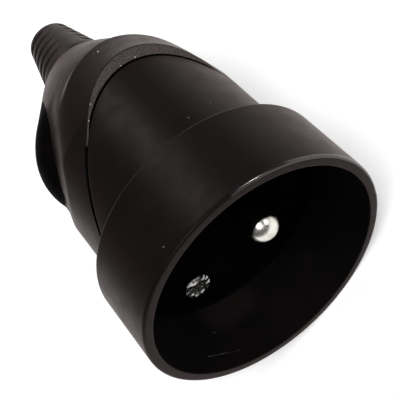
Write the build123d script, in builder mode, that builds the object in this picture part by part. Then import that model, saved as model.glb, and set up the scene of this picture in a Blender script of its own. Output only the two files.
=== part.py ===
from build123d import *
import os
from math import cos, radians, sin

os.makedirs("parts", exist_ok=True)

# The plug rolls over until it lies on the flank between a finger stop and a cheek. Its planes are
# turned about the axis by that angle, with the earth pin leaning towards +X.
lie_angle = 46.5
across, flat, side = [plane.rotated((0, lie_angle, 0)) for plane in (Plane.XZ, Plane.XY, Plane.YZ)]

# Fits
fit_gap = 0.3
plate_gap = 0.4
cut_room = 1.0

# Well and collar: the mouth lies in the plane y = 0 and the axis runs back along +Y
well_mouth_r = 20.0
well_draft = 0.9
well_depth = 13.3
collar_wall = 1.66
collar_back = 1.2
floor_t = 2.7
rim_round = 0.55
rim_edge = 0.2
step_round = 0.45
well_floor_r = well_mouth_r - well_draft
collar_r = well_mouth_r + collar_wall
collar_len = well_depth + collar_back
floor_back = well_depth + floor_t

# Contacts and earth pin
pole_x = 9.5
earth_z = 10.0
sleeve_in = 2.5
hole_lead = 0.45
sleeve_wall = 0.85
sleeve_len = 14.0
slit_w = 0.8
slit_root = 3.0
spring_room = 1.3
spring_l = 3.5
spring_lead = 2.0
cup_wall = 1.4
seat_t = 1.5
seat_inset = 0.6
pin_r = 2.4
pin_len = 14.3
pin_shank = 0.4
pin_tube_wall = 1.8
pin_flange = 1.2
sleeve_out = sleeve_in + sleeve_wall
cup_in = sleeve_out + spring_room
cup_out = cup_in + cup_wall
seat_y = floor_back + sleeve_len
plate_y = seat_y + seat_t
pin_tip = well_depth - pin_len
shank_r = pin_r + pin_shank

# Retainer plate and terminal posts
plate_t = 2.5
post_r = 3.8
earth_post_r = 3.2
post_len = 8.0
wire_r = 1.7
wire_depth = 6.0
post_flat = 0.4
terminal_back = 3.4
plate_back = plate_y + plate_t
post_end = plate_back + post_len
terminal_y = post_end - terminal_back

# Body behind the collar
wall = 2.2
cup_room = 0.85
bore_r = pole_x + cup_out + cup_room
body_r = bore_r + wall

# Slanted seam between the shells, seen from the side as two straight lines
seam_lead = 1.3
seam_rise = 0.8
seam_gap = 0.7
seam_closing = 1.019
tongue_len = 25.5
seam_tip = collar_len - seam_lead
tongue_end = collar_len + tongue_len
cover_tip = seam_tip + seam_gap
cover_rise = seam_rise * seam_closing

# Fasteners
small_r = 1.3
small_head_r = 2.2
small_head_t = 1.5
small_grip = 8.5
drive_slot = 0.7
drive_depth = 0.8
assembly_r = 1.7
assembly_head_r = 2.65
assembly_head_t = 1.7
assembly_head_round = 0.5
assembly_cross = 3.4
assembly_cross_depth = 1.1
assembly_inset = 2.6
assembly_angle = 20.8
boss_r = 3.4
boss_stand = 0.6
insert_r = 2.5
insert_len = 7.4
insert_cap = 1.2
retainer_inset = 3.3
retainer_angles = [150.0, -35.0]
retainer_post_wall = 1.5
boss_end = plate_back + boss_stand
insert_front = boss_end + plate_gap
insert_end = insert_front + insert_len

# Rear cover, its stations counted from the back of the collar
waist_drop = 1.0
waist_back = 17.5
belly_swell = 0.24
belly_back = 25.5
shoulder_drop = 2.7
shoulder_back = 33.5
tail_r = 8.1
tail_back = 46.0
band_start = 14.15
band_round = 9.9
band_bend_back = 18.5
ridge_drop = 1.55
ridge_back = 31.3
crest_rise = 1.3
crest_bulge_r = 12.0
crest_slope = 22.0
side_shift = 3.8
cheek_inset = 0.2
cheek_r = body_r - side_shift
back_front_drop = 2.2
back_front = 30.5
back_mid_drop = 5.75
back_mid = 37.5
end_wall_t = 3.0
waist_y = collar_len + waist_back
belly_y = collar_len + belly_back
shoulder_y = collar_len + shoulder_back
tail_y = collar_len + tail_back
ridge_y = collar_len + ridge_back
back_front_y = collar_len + back_front
back_mid_y = collar_len + back_mid
end_wall_y = tail_y - end_wall_t
crest_z = body_r + crest_rise
crest_y = cover_tip + crest_z / cover_rise

# Cable boot
cable_r = 3.8
boot_wall = 0.94
boot_len = 14.6
boot_lip = 0.35
boot_bevel = 0.3
boot_neck_wall = 2.2
boot_flange = 1.0
boot_flange_t = 1.5
rib_count = 5
rib_pitch = 2.4
rib_lead = 1.7
rib_groove = 1.1
rib_depth = 0.7
spine_half_angle = 38.0
neck_r = cable_r + boot_neck_wall
boot_flange_r = neck_r + boot_flange
boot_end_r = cable_r + boot_wall
boot_base_r = tail_r - boot_lip
boot_end = tail_y + boot_len

# Cable shelf and clamp
shelf_t = 2.8
shelf_drop = 0.6
shelf_len = 18.5
shelf_edge = 2.0
clamp_l = 5.0
clamp_back = 3.5
clamp_lift = 2.6
clamp_top = 6.0
clamp_web = 1.0
shelf_top = -cable_r - shelf_drop
shelf_end = plate_y + shelf_len
clamp_y = shelf_end - clamp_back
clamp_screw_x = cable_r + fit_gap + small_r + clamp_web
shelf_w = 2 * (clamp_screw_x + shelf_edge)


def station(y):
    """Plane across the axis at distance y behind the mouth, its second direction towards the earth pin."""
    return across.offset(-y)


def radial_plane(angle):
    """Plane that holds the axis and points outwards, angle counted from the earth pin clockwise."""
    outward = across.from_local_coords(on_ring(1, angle))
    return Plane(origin=(0, 0, 0), x_dir=outward, z_dir=outward.cross(Vector(0, 1, 0)))


def on_ring(radius, angle):
    """Point across the axis at a radius and an angle counted from the earth pin clockwise."""
    return (radius * sin(radians(angle)), radius * cos(radians(angle)))


def side_wedge(tip, rise, end):
    """Corners of the wedge that opens backwards from the side line of the body."""
    return [(tip, 0), (end, rise * (end - tip)), (end, -rise * (end - tip))]


assembly_spot = on_ring(bore_r - assembly_inset, 180 + assembly_angle)
retainer_spots = [on_ring(bore_r - retainer_inset, angle) for angle in retainer_angles]
clamp_spots = [(clamp_screw_x, clamp_y), (-clamp_screw_x, clamp_y)]

# Side openings of the front shell, left free for the two side tongues of the cover
with BuildPart() as side_notch:
    with BuildSketch(flat):
        with BuildLine():
            Polyline((bore_r - fit_gap, collar_len), (collar_r, collar_len), (collar_r, tongue_end + wall),
                     (bore_r - fit_gap, tongue_end + wall), close=True)
        make_face()
    revolve(axis=Axis.Y)
    with BuildSketch(side):
        with BuildLine():
            Polyline(*side_wedge(seam_tip, seam_rise, tongue_end + 2 * wall), close=True)
        make_face()
    extrude(amount=collar_r, both=True, mode=Mode.INTERSECT)

with BuildPart() as front_housing:
    # collar, well, floor and the tube that becomes the two tongues
    with BuildSketch(flat):
        with BuildLine():
            Polyline((0, well_depth), (well_floor_r, well_depth), (well_mouth_r, 0), (collar_r, 0),
                     (collar_r, collar_len), (body_r, collar_len), (body_r, tongue_end),
                     (bore_r, tongue_end), (bore_r, floor_back), (0, floor_back), close=True)
        make_face()
        fillet(vertices().sort_by(Axis.Y)[0:2].sort_by(Axis.X)[-1], rim_round)
        chamfer(vertices().group_by(Axis.Y)[0].sort_by(Axis.X)[0], rim_edge)
        fillet(vertices().group_by(Axis.X)[-1].sort_by(Axis.Y)[-1], step_round)
    revolve(axis=Axis.Y)
    # cups of the sleeves, tube of the earth pin, posts of the retainer and boss of the screw
    with BuildSketch(station(floor_back)):
        with Locations((pole_x, 0), (-pole_x, 0)):
            Circle(cup_out)
        with Locations((0, earth_z)):
            Circle(shank_r + pin_tube_wall)
    extrude(amount=-(seat_y - floor_back))
    with BuildSketch(station(floor_back)):
        with Locations(*retainer_spots):
            Circle(small_r + retainer_post_wall)
    extrude(amount=-(plate_y - floor_back))
    with BuildSketch(station(floor_back)):
        with Locations(assembly_spot):
            Circle(boss_r)
    extrude(amount=-(boss_end - floor_back))
    add(side_notch.part, mode=Mode.SUBTRACT)
    # bores
    with BuildSketch(station(0)):
        with Locations((pole_x, 0), (-pole_x, 0)):
            Circle(sleeve_in)
        with Locations((0, earth_z)):
            Circle(shank_r + fit_gap)
        with Locations(assembly_spot):
            Circle(assembly_r + fit_gap)
    extrude(amount=-tongue_end, mode=Mode.SUBTRACT)
    with BuildSketch(station(floor_back)):
        with Locations((pole_x, 0), (-pole_x, 0)):
            Circle(cup_in)
    extrude(amount=-(tongue_end - floor_back), mode=Mode.SUBTRACT)
    with BuildSketch(station(0)):
        with Locations(assembly_spot):
            Circle(assembly_head_r + fit_gap)
    extrude(amount=-(well_depth + assembly_head_t), mode=Mode.SUBTRACT)
    with BuildSketch(station(plate_y)):
        with Locations(*retainer_spots):
            Circle(small_r + fit_gap)
    extrude(amount=small_grip + cut_room, mode=Mode.SUBTRACT)
    # lead into the two pin holes
    well_floor = faces().sort_by_distance((0, well_depth, 0))[0]
    pole_rims = well_floor.inner_wires().sort_by(lambda rim: abs(across.to_local_coords(rim.center()).Y))[0:2]
    chamfer(pole_rims[0].edges() + pole_rims[1].edges(), hole_lead)
front_housing.part.label = "front_housing"
export_step(front_housing.part, "parts/front_housing.step")

# Outer band of the cover: it follows the seam and swells into the two finger stops
tilt = radians(crest_slope)
crest_axis = (crest_y - crest_bulge_r * sin(tilt), crest_z - crest_bulge_r * cos(tilt))
crest_plane = Plane(origin=side.from_local_coords(crest_axis), x_dir=side.z_dir,
                    z_dir=side.from_local_coords((cos(tilt), -sin(tilt))))
with BuildPart() as cover_band:
    with BuildSketch(flat):
        with BuildLine():
            Polyline((0, cover_tip), (body_r, cover_tip), (body_r, collar_len + band_bend_back),
                     (body_r - ridge_drop, ridge_y), (body_r - ridge_drop, shoulder_y), (0, shoulder_y),
                     close=True)
        make_face()
    revolve(axis=Axis.Y)
    with BuildSketch(crest_plane):
        Circle(crest_bulge_r)
    swell = extrude(amount=crest_bulge_r, both=True)
    mirror(swell, about=flat)

# Everything behind the band, seen from the side as a wedge with a rounded tip
with BuildPart() as behind_band:
    with BuildSketch(side):
        with BuildLine():
            Polyline(*side_wedge(collar_len + band_start, 1.0, boot_end), close=True)
        make_face()
        fillet(vertices().sort_by(Axis.X)[0], band_round)
    extrude(amount=collar_r + wall, both=True)

with BuildPart() as rear_cover:
    # dome, and on each side a fuller cheek turned about an axis that is shifted sideways
    with BuildSketch(radial_plane(0)):
        with BuildLine():
            Spline((body_r - waist_drop, waist_y), (body_r - back_front_drop, back_front_y),
                   (body_r - back_mid_drop, back_mid_y), (tail_r, tail_y))
            Polyline((tail_r, tail_y), (0, tail_y), (0, waist_y), (body_r - waist_drop, waist_y))
        make_face()
    revolve(axis=Axis.Y)
    cheek_axis = Axis(flat.from_local_coords((side_shift, 0)), (0, 1, 0))
    with BuildSketch(Plane(origin=cheek_axis.position, x_dir=-flat.x_dir, z_dir=-flat.z_dir)):
        with BuildLine():
            Spline((cheek_r - waist_drop, waist_y), (cheek_r + belly_swell, belly_y),
                   (cheek_r - shoulder_drop, shoulder_y))
            Polyline((cheek_r - shoulder_drop, shoulder_y), (tail_r - side_shift - cheek_inset, tail_y),
                     (0, tail_y), (0, waist_y), (cheek_r - waist_drop, waist_y))
        make_face()
    cheek = revolve(axis=cheek_axis)
    mirror(cheek, about=side)
    add(behind_band.part, mode=Mode.INTERSECT)
    add(cover_band.part - behind_band.part)
    # cavity and cable hole
    with BuildSketch(flat):
        with BuildLine():
            Polyline((0, cover_tip - cut_room), (bore_r, cover_tip - cut_room), (bore_r, belly_y - wall),
                     (bore_r - back_front_drop, back_front_y), (bore_r - back_mid_drop, back_mid_y),
                     (boot_flange_r + plate_gap, end_wall_y - boot_flange_t),
                     (boot_flange_r + plate_gap, end_wall_y), (neck_r + fit_gap, end_wall_y),
                     (neck_r + fit_gap, boot_end), (0, boot_end), close=True)
        make_face()
    revolve(axis=Axis.Y, mode=Mode.SUBTRACT)
    # boss for the threaded insert
    with BuildSketch(station(insert_front)):
        with Locations(assembly_spot):
            Circle(boss_r)
    extrude(amount=-(insert_len + insert_cap))
    with BuildSketch(station(insert_end)):
        with Locations(assembly_spot):
            Circle(insert_r + fit_gap)
    extrude(amount=insert_len + wall, mode=Mode.SUBTRACT)
    # slanted front faces
    with BuildSketch(side):
        with BuildLine():
            Polyline(*side_wedge(cover_tip, cover_rise, boot_end), close=True)
        make_face()
    extrude(amount=collar_r + wall, both=True, mode=Mode.INTERSECT)
    with BuildSketch(across):
        Circle(collar_r + wall)
    extrude(amount=-(collar_len + fit_gap), mode=Mode.SUBTRACT)
rear_cover.part.label = "rear_cover"
export_step(rear_cover.part, "parts/rear_cover.step")

with BuildPart() as cable_boot:
    with BuildSketch(flat):
        with BuildLine():
            Polyline((boot_base_r, tail_y), (boot_end_r, boot_end), (cable_r, boot_end),
                     (cable_r, end_wall_y - boot_flange_t), (boot_flange_r, end_wall_y - boot_flange_t),
                     (boot_flange_r, end_wall_y), (neck_r, end_wall_y), (neck_r, tail_y), close=True)
        make_face()
        chamfer(vertices().group_by(Axis.Y)[-1].sort_by(Axis.X)[-1], boot_bevel)
    revolve(axis=Axis.Y)
    # ribs on both sides, with a plain spine above and below
    taper = (boot_base_r - boot_end_r) / boot_len
    for start in (spine_half_angle, 180 + spine_half_angle):
        for rib in range(rib_count):
            groove_back = rib_lead + rib_pitch * rib
            groove_r = boot_end_r + taper * groove_back - rib_depth
            with BuildSketch(radial_plane(start)):
                with Locations((groove_r, boot_end - groove_back)):
                    Rectangle(3 * rib_depth, rib_groove, align=(Align.MIN, Align.CENTER))
            revolve(axis=Axis.Y, revolution_arc=180 - 2 * spine_half_angle, mode=Mode.SUBTRACT)
cable_boot.part.label = "cable_boot"
export_step(cable_boot.part, "parts/cable_boot.step")

with BuildPart() as earth_pin:
    with BuildSketch(side):
        with BuildLine():
            CenterArc((pin_tip + pin_r, earth_z), pin_r, 90, 90)
            Polyline((pin_tip + pin_r, earth_z + pin_r), (well_depth, earth_z + pin_r),
                     (well_depth, earth_z + shank_r), (seat_y, earth_z + shank_r),
                     (seat_y, earth_z + earth_post_r + pin_flange),
                     (plate_y, earth_z + earth_post_r + pin_flange), (plate_y, earth_z + earth_post_r),
                     (post_end, earth_z + earth_post_r), (post_end, earth_z), (pin_tip, earth_z))
        make_face()
    revolve(axis=Axis(across.from_local_coords((0, earth_z)), (0, 1, 0)))
    with BuildSketch(station(post_end)):
        with Locations((0, earth_z)):
            Circle(wire_r)
    extrude(amount=wire_depth, mode=Mode.SUBTRACT)
    with BuildSketch(flat.offset(earth_z + earth_post_r - post_flat)):
        with Locations((0, terminal_y)):
            Rectangle(2 * earth_post_r, 2 * (small_head_r + fit_gap))
    extrude(amount=small_head_t, mode=Mode.SUBTRACT)
    with BuildSketch(flat.offset(earth_z)):
        with Locations((0, terminal_y)):
            Circle(small_r + fit_gap)
    extrude(amount=earth_post_r, mode=Mode.SUBTRACT)
earth_pin.part.label = "earth_pin"
export_step(earth_pin.part, "parts/earth_pin.step")

# The two sleeve contacts, each with its spring ring and terminal screw
for side, name in ((-1, "line"), (1, "neutral")):
    with BuildPart() as contact:
        with BuildSketch(station(floor_back)):
            with Locations((side * pole_x, 0)):
                Circle(sleeve_out)
        extrude(amount=-(seat_y - floor_back))
        with BuildSketch(station(seat_y)):
            with Locations((side * pole_x, 0)):
                Circle(cup_out - seat_inset)
        extrude(amount=-seat_t)
        with BuildSketch(station(plate_y)):
            with Locations((side * pole_x, 0)):
                Circle(post_r)
        extrude(amount=-(post_end - plate_y))
        with BuildSketch(station(floor_back)):
            with Locations((side * pole_x, 0)):
                Circle(sleeve_in)
        extrude(amount=-(plate_y - floor_back), mode=Mode.SUBTRACT)
        with BuildSketch(station(floor_back)):
            with Locations((side * pole_x, 0)):
                Rectangle(slit_w, 3 * sleeve_out)
        extrude(amount=-(sleeve_len - slit_root), mode=Mode.SUBTRACT)
        with BuildSketch(station(post_end)):
            with Locations((side * pole_x, 0)):
                Circle(wire_r)
        extrude(amount=wire_depth, mode=Mode.SUBTRACT)
        with BuildSketch(flat.offset(post_r - post_flat)):
            with Locations((side * pole_x, terminal_y)):
                Rectangle(2 * post_r, 2 * (small_head_r + fit_gap))
        extrude(amount=small_head_t, mode=Mode.SUBTRACT)
        with BuildSketch(flat):
            with Locations((side * pole_x, terminal_y)):
                Circle(small_r + fit_gap)
        extrude(amount=post_r, mode=Mode.SUBTRACT)
    contact.part.label = name + "_contact"
    export_step(contact.part, "parts/" + name + "_contact.step")

    with BuildPart() as spring:
        with BuildSketch(station(floor_back + spring_lead)):
            with Locations((side * pole_x, 0)):
                Circle(cup_in - fit_gap)
                Circle(sleeve_out + fit_gap, mode=Mode.SUBTRACT)
            with Locations((side * (pole_x + cup_in), 0)):
                Rectangle(cup_in, slit_w, mode=Mode.SUBTRACT)
        extrude(amount=-spring_l)
    spring.part.label = name + "_contact_spring"
    export_step(spring.part, "parts/" + name + "_contact_spring.step")

    with BuildPart() as terminal_screw:
        with BuildSketch(flat.offset(post_r - post_flat)):
            with Locations((side * pole_x, terminal_y)):
                Circle(small_head_r)
        extrude(amount=small_head_t)
        with BuildSketch(flat.offset(post_r - post_flat)):
            with Locations((side * pole_x, terminal_y)):
                Circle(small_r)
        extrude(amount=-(post_r - post_flat - fit_gap))
        with BuildSketch(flat.offset(post_r - post_flat + small_head_t)):
            with Locations((side * pole_x, terminal_y)):
                Rectangle(drive_slot, 2 * small_head_r)
        extrude(amount=-drive_depth, mode=Mode.SUBTRACT)
    terminal_screw.part.label = name + "_terminal_screw"
    export_step(terminal_screw.part, "parts/" + name + "_terminal_screw.step")

with BuildPart() as earth_terminal_screw:
    with BuildSketch(flat.offset(earth_z + earth_post_r - post_flat)):
        with Locations((0, terminal_y)):
            Circle(small_head_r)
    extrude(amount=small_head_t)
    with BuildSketch(flat.offset(earth_z + earth_post_r - post_flat)):
        with Locations((0, terminal_y)):
            Circle(small_r)
    extrude(amount=-(earth_post_r - post_flat - fit_gap))
    with BuildSketch(flat.offset(earth_z + earth_post_r - post_flat + small_head_t)):
        with Locations((0, terminal_y)):
            Rectangle(drive_slot, 2 * small_head_r)
    extrude(amount=-drive_depth, mode=Mode.SUBTRACT)
earth_terminal_screw.part.label = "earth_terminal_screw"
export_step(earth_terminal_screw.part, "parts/earth_terminal_screw.step")

with BuildPart() as contact_retainer:
    with BuildSketch(station(plate_y)):
        Circle(bore_r - plate_gap)
        with Locations((pole_x, 0), (-pole_x, 0)):
            Circle(post_r + plate_gap, mode=Mode.SUBTRACT)
        with Locations((0, earth_z)):
            Circle(earth_post_r + plate_gap, mode=Mode.SUBTRACT)
        with Locations(assembly_spot):
            Circle(boss_r + plate_gap, mode=Mode.SUBTRACT)
        with Locations(*retainer_spots):
            Circle(small_r + fit_gap, mode=Mode.SUBTRACT)
    extrude(amount=-plate_t)
    # shelf that carries the cable under the clamp
    with BuildSketch(flat.offset(shelf_top)):
        with Locations((0, plate_y)):
            Rectangle(shelf_w, shelf_len, align=(Align.CENTER, Align.MIN))
    extrude(amount=-shelf_t)
    with BuildSketch(flat.offset(shelf_top)):
        with Locations(*clamp_spots):
            Circle(small_r + fit_gap)
    extrude(amount=-shelf_t, mode=Mode.SUBTRACT)
contact_retainer.part.label = "contact_retainer"
export_step(contact_retainer.part, "parts/contact_retainer.step")

with BuildPart() as retainer_screws:
    with BuildSketch(station(plate_back)):
        with Locations(*retainer_spots):
            Circle(small_head_r)
    extrude(amount=-small_head_t)
    with BuildSketch(station(plate_back)):
        with Locations(*retainer_spots):
            Circle(small_r)
    extrude(amount=plate_t + small_grip)
    with BuildSketch(station(plate_back + small_head_t)):
        with Locations(*retainer_spots):
            Rectangle(2 * small_head_r, drive_slot)
    extrude(amount=drive_depth, mode=Mode.SUBTRACT)
retainer_screws.part.label = "retainer_screws"
export_step(retainer_screws.part, "parts/retainer_screws.step")

with BuildPart() as cable_clamp_bar:
    with BuildSketch(flat.offset(clamp_lift)):
        with Locations((0, clamp_y)):
            Rectangle(shelf_w, clamp_l)
        with Locations(*clamp_spots):
            Circle(small_r + fit_gap, mode=Mode.SUBTRACT)
    extrude(amount=clamp_top - clamp_lift)
    with BuildSketch(station(clamp_y)):
        Circle(cable_r + fit_gap)
    extrude(amount=clamp_l, both=True, mode=Mode.SUBTRACT)
cable_clamp_bar.part.label = "cable_clamp_bar"
export_step(cable_clamp_bar.part, "parts/cable_clamp_bar.step")

with BuildPart() as cable_clamp_screws:
    with BuildSketch(flat.offset(clamp_top)):
        with Locations(*clamp_spots):
            Circle(small_head_r)
    extrude(amount=small_head_t)
    with BuildSketch(flat.offset(clamp_top)):
        with Locations(*clamp_spots):
            Circle(small_r)
    extrude(amount=-(clamp_top - shelf_top + shelf_t))
    with BuildSketch(flat.offset(clamp_top + small_head_t)):
        with Locations(*clamp_spots):
            Rectangle(drive_slot, 2 * small_head_r)
    extrude(amount=-drive_depth, mode=Mode.SUBTRACT)
cable_clamp_screws.part.label = "cable_clamp_screws"
export_step(cable_clamp_screws.part, "parts/cable_clamp_screws.step")

with BuildPart() as assembly_screw:
    with BuildSketch(station(well_depth + assembly_head_t)):
        with Locations(assembly_spot):
            Circle(assembly_head_r)
    head = extrude(amount=assembly_head_t)
    fillet(head.edges().filter_by(GeomType.CIRCLE).sort_by(Axis.Y)[0], assembly_head_round)
    with BuildSketch(station(well_depth + assembly_head_t)):
        with Locations(assembly_spot):
            Circle(assembly_r)
    extrude(amount=-(insert_end - well_depth - assembly_head_t - fit_gap))
    with BuildSketch(station(well_depth)):
        with Locations(assembly_spot):
            Rectangle(drive_slot, assembly_cross)
            Rectangle(assembly_cross, drive_slot)
    extrude(amount=-assembly_cross_depth, mode=Mode.SUBTRACT)
assembly_screw.part.label = "assembly_screw"
export_step(assembly_screw.part, "parts/assembly_screw.step")

with BuildPart() as assembly_insert:
    with BuildSketch(station(insert_front)):
        with Locations(assembly_spot):
            Circle(insert_r)
            Circle(assembly_r + fit_gap, mode=Mode.SUBTRACT)
    extrude(amount=-insert_len)
assembly_insert.part.label = "assembly_insert"
export_step(assembly_insert.part, "parts/assembly_insert.step")
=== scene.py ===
import math

import bmesh
import bpy
import numpy as np
from mathutils import Matrix, Vector


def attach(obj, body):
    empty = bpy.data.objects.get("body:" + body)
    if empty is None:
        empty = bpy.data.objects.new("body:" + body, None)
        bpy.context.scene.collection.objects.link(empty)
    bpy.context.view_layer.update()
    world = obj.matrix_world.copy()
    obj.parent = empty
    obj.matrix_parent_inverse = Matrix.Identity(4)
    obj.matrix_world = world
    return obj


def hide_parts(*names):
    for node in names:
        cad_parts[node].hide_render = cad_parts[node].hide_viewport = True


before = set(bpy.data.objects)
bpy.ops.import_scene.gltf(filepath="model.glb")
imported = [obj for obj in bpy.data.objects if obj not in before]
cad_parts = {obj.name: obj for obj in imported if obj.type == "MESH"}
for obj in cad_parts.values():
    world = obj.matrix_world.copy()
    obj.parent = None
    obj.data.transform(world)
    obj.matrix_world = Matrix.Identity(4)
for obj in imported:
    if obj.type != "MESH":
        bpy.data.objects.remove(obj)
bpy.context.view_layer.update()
scene = bpy.context.scene

# Lengths are in millimetres: mouth in the plane y = 0, axis back along +Y, earth pin towards +Z.
# The plug lies on a flank, so each finished piece is turned about the axis by LIE.
MM = 0.001
LIE = Matrix.Rotation(math.radians(46.5), 4, "Y")

# Fineness of the meshes, with the two welding distances in metres
SHELL_COLUMNS = 384
BOOT_COLUMNS = 192
LATHE_COLUMNS = 96
PIN_COLUMNS = 64
TUBE_COLUMNS = 48
ROUND_STEPS = 5
ROUND_SUPPORT = 1.35
EDGE_STEPS = np.linspace(0, 1, 5)
WELD_GAP = 2e-6
EMPTY_FACE = 1e-7

# Room between the two shells
FIT = 0.3

# Front housing: well and collar, with the radii of the rings across the floor
WELL_MOUTH_R = 20.0
WELL_FLOOR_R = 19.1
WELL_DEPTH = 13.3
WELL_CORNER_ROUND = 0.5
WELL_FLOOR_RINGS = (0.0, 5.0, 10.0, 15.0)
MOUTH_ROUND = 0.22
COLLAR_R = 21.66
COLLAR_LEN = 14.5
RIM_ROUND = 0.55
COLLAR_BACK_ROUND = 0.45
FLOOR_BACK = 16.0
FLOOR_BACK_RINGS = (14.0, 8.0, 0.0)

# Front housing: tongues along the seam, where rings and shares are parts of a tongue's length or end face
BODY_R = 18.6
BORE_R = 16.4
SEAM_TIP = 13.2
SEAM_RISE = 0.8
TONGUE_RINGS = (0.02, 0.25, 0.5, 0.75, 0.9)
TONGUE_ROUND = 0.3
TONGUE_ROUND_SHARE = 0.1
TONGUE_FACE_SHARE = 0.12
TONGUE_LEDGE = 0.1

# Parts of the well painted in shade, and the part of the rim that is polished, the polish in degrees from the
# earth pin towards +X
FLOOR_BAND = 0.4
RIM_BAND = 0.5
RIM_POLISH_FROM = -16.0
RIM_POLISH_TO = 75.0

# Holes through the well's floor and the tubes behind it
CUTTER_FRONT = 12.0
CUTTER_BACK = 17.0
POLE_X = 9.5
POLE_HOLE_R = 2.5
POLE_LEAD = 0.75
POLE_LEAD_Y = 13.0
POLE_TUBE_R = 4.65
POLE_TUBE_OUTER_R = 6.05
EARTH_Z = 10.0
PIN_HOLE_R = 3.1
PIN_TUBE_OUTER_R = 4.6
SCREW_X = -4.9
SCREW_Z = -12.9
SCREW_HOLE_R = 2.0
SCREW_SEAT_R = 2.95
SCREW_SEAT_Y = 15.0
SCREW_TUBE_END = 34.6
TUBE_ROOT = 0.5
TUBE_END = 30.0

# Rear cover: slanted face, band and finger stops
COVER_TIP = 13.9
COVER_RISE = 0.8152
BAND_BEND_Y = 33.0
RIDGE_Y = 45.8
RIDGE_R = 17.05
BAND_START = 28.65
BAND_ROUND = 9.9
CREST_Z = 19.9
CREST_Y = COVER_TIP + CREST_Z / COVER_RISE
CREST_BULGE = 12.0
CREST_SLOPE = math.radians(22.0)
CREST_FILLET = 2.0
COVER_EDGE_ROUND = 0.30
COVER_FACE_SHARE = 0.08
EDGE_PASSES = 60

# Rear cover: rings in the gap beside the seam, which is painted shade, and on the slanted face beyond it, as
# shares.
# The face is speckled and lightened as painted light up to an angle from the crest, in degrees, which grows
# from its root to its edge; beyond that angle it is painted shade.
GAP_SHADE = 0.08
GAP_PARTS = (0.0, 0.5)
FACE_PARTS = (0.0, 0.25, 0.5, 0.75)
FACE_END = 0.9
SPARK_ROOT = 41.0
SPARK_EDGE = 48.0

# Rear cover: ridge behind the band, dome and grip cheeks, with lines along the body as knots (y, r)
WAIST_Y = 32.0
SHOULDER_Y = 48.0
SHOULDER_R = 15.9
TAIL_Y = 60.5
TAIL_R = 8.1
DOME_KNOTS = [(WAIST_Y, BODY_R - 1.0), (45.0, 16.1), (52.0, 13.25), (TAIL_Y, TAIL_R)]
CHEEK_KNOTS = [(WAIST_Y, BODY_R - 1.7), (40.0, 18.84), (SHOULDER_Y, SHOULDER_R)]
RIDGE_FALL = 2.6
RIDGE_RUNOUT = 10.0
RIDGE_RUNOUT_SHIFT = 1.0
RIDGE_CRISP_Z = 15.5
RIDGE_SOFT_Z = 11.0
CHEEK_MID_Y = 44.0
CHEEK_AHEAD = 13.2
CHEEK_BEHIND = 14.0
CHEEK_HALF = 10.2
CHEEK_POWER = 1.8
ROLL_Y = (36.0, 46.0)
ROLL_R = (9.5, 12.0)
LIP_WIDTH = 4.6
LIP_START = -1.8
# Beyond this share of a cheek's outline its surface is painted in shade
CHEEK_SHADE_SHARE = 0.62
BACK_RINGS = np.linspace(0.003, 1.0, 128)

# Rear cover: tail, inside and the boss for the threaded insert.
# A slope is the fall in radius and the run in length just before an end.
TAIL_SLOPE = (0.3, 0.5)
TAIL_ROUND = 0.25
NECK_HOLE_R = 6.3
NECK_HOLE_ROUND = 0.2
FLANGE_FRONT = 56.0
FLANGE_BACK = 57.5
FLANGE_SEAT_R = 7.4
CAVITY = [(10.65, 52.0), (14.2, 45.0), (BORE_R, 37.8)]
BOSS_HOLE_R = 2.8
BOSS_R = 3.4
BOSS_FRONT = 35.0
BOSS_FLOOR = 42.4
BOSS_END = 43.6

# Cable boot, with the spread of its grooves in degrees from the spines.
# A groove's wall is given by distances in from its edge, each with its share of the depth.
BOOT_END = 75.1
BOOT_BASE_R = 7.75
BOOT_END_R = 4.74
BOOT_NECK_R = 6.0
BOOT_FLANGE_R = 7.0
BOOT_SLOPE = (0.2, 1.0)
BOOT_END_ROUND = 0.3
CABLE_R = 3.8
CABLE_HOLE_ROUND = 0.2
GROOVE_COUNT = 5
GROOVE_PITCH = 2.4
GROOVE_LAST_Y = BOOT_END - 1.7
GROOVE_W = 1.1
GROOVE_D = 0.7
GROOVE_WALL = [(-0.25, 0.0), (-0.08, 0.02), (0.0, 0.15), (0.06, 0.75), (0.2, 1.0)]
GROOVE_FROM = 14.0
GROOVE_FULL = 52.0
NECK_D = 0.5
NECK_W = 0.4
NECK_ROUND = 0.35
NECK_STEPS = (0.0, 0.3, 0.7, 1.0)

# Earth pin, bright from its tip back to PIN_BRIGHT, and behind that darkened as painted shade inside the well
PIN_R = 2.4
PIN_TIP_Y = -1.0
PIN_TIP_STEPS = 20
PIN_BRIGHT = 0.6
PIN_SHANK_R = 2.8
PIN_FLANGE_R = 4.4
PIN_FLANGE_BACK = 31.5
PIN_POST_R = 3.2
PIN_END = 42.0
WIRE_HOLE_R = 1.7
WIRE_HOLE_FLOOR = 36.0

# Assembly screw
SCREW_R = 1.7
SCREW_HEAD_R = 2.65
SCREW_HEAD_ROUND = 0.5
SCREW_END = 42.1
CROSS_W = 0.8
CROSS_L = 3.4
CROSS_HUB = 1.4
CROSS_DEPTH = 1.1
CROSS_TAPER = 0.25

# Angles round the shells, counted from the earth pin's side towards +X
ANGLES = np.linspace(0, 2 * math.pi, SHELL_COLUMNS, endpoint=False)
UPRIGHT = np.abs(np.cos(ANGLES))
SIDEWAYS = np.abs(np.sin(ANGLES))
FROM_PIN = np.degrees((ANGLES + math.pi) % (2 * math.pi) - math.pi)
FROM_CREST = np.degrees(np.arccos(np.clip(UPRIGHT, 0, 1)))


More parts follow.
